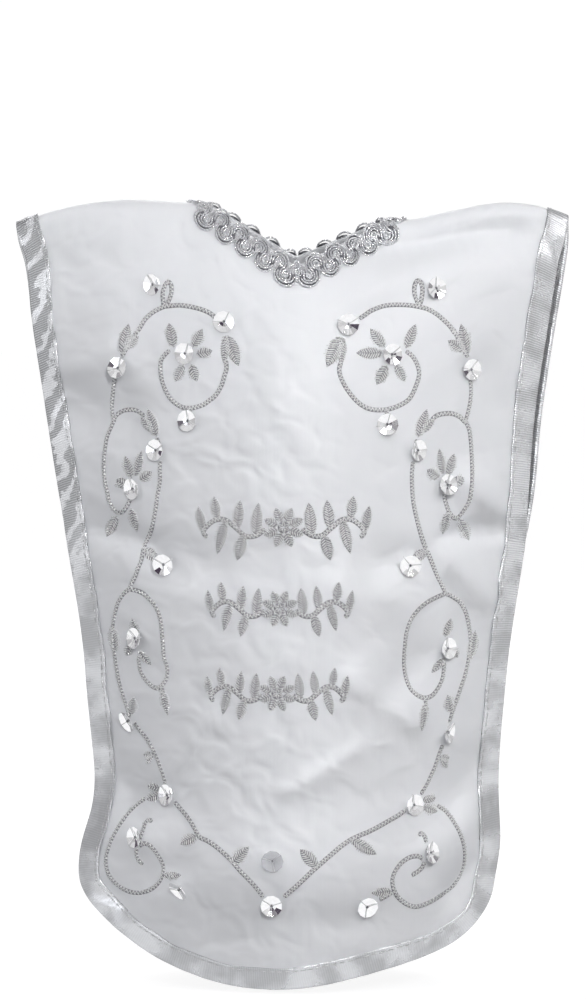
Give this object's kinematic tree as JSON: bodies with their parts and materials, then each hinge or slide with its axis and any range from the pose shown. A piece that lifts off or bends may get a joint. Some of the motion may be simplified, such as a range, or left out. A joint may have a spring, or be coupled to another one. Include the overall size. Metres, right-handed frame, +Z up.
{
  "type": "wine bottle cover",
  "caption": "Satin tabard cover that slips over a bottle's neck and hangs front and back, with a braid at the V neck and a ribbon binding round its edge.",
  "frame": {"origin": "on the bottle's axis at the level of the shoulder folds, inside the neck opening", "axes": "+Z up, the decorated front faces -Y, +X to the viewer's right"},
  "size_m": [0.1782, 0.0903, 0.2505],
  "materials": {
    "white_satin": "white satin, soft sheen",
    "silver_ribbon": "silver metallic ribbon, ribbed across",
    "silver_cord": "silver metallic braid and embroidery thread",
    "silver_foil": "mirror-bright silvered plastic"
  },
  "bodies": {
    "root": {"cover_cloth": "white_satin", "edge_binding": "silver_ribbon", "neck_braid": "silver_cord", "sequin_left_crown": "silver_foil", "sequin_left_spiral": "silver_foil", "sequin_left_shoulder": "silver_foil", "sequin_left_flower": "silver_foil", "sequin_left_drop": "silver_foil", "sequin_left_loop": "silver_foil", "sequin_left_second_flower": "silver_foil", "sequin_left_branch": "silver_foil", "sequin_left_bud": "silver_foil", "sequin_left_edge_on": "silver_foil", "sequin_left_low_branch": "silver_foil", "sequin_left_low_bud": "silver_foil", "sequin_left_hem": "silver_foil", "sequin_middle_point": "silver_foil", "sequin_middle_clear": "silver_foil", "sequin_right_crown": "silver_foil", "sequin_right_spiral": "silver_foil", "sequin_right_shoulder": "silver_foil", "sequin_right_flower": "silver_foil", "sequin_right_drop": "silver_foil", "sequin_right_loop": "silver_foil", "sequin_right_second_flower": "silver_foil", "sequin_right_branch": "silver_foil", "sequin_right_bud": "silver_foil", "sequin_right_edge_on": "silver_foil", "sequin_right_low_branch": "silver_foil", "sequin_right_low_bud": "silver_foil", "sequin_right_hem": "silver_foil"}
  },
  "joints": []
}
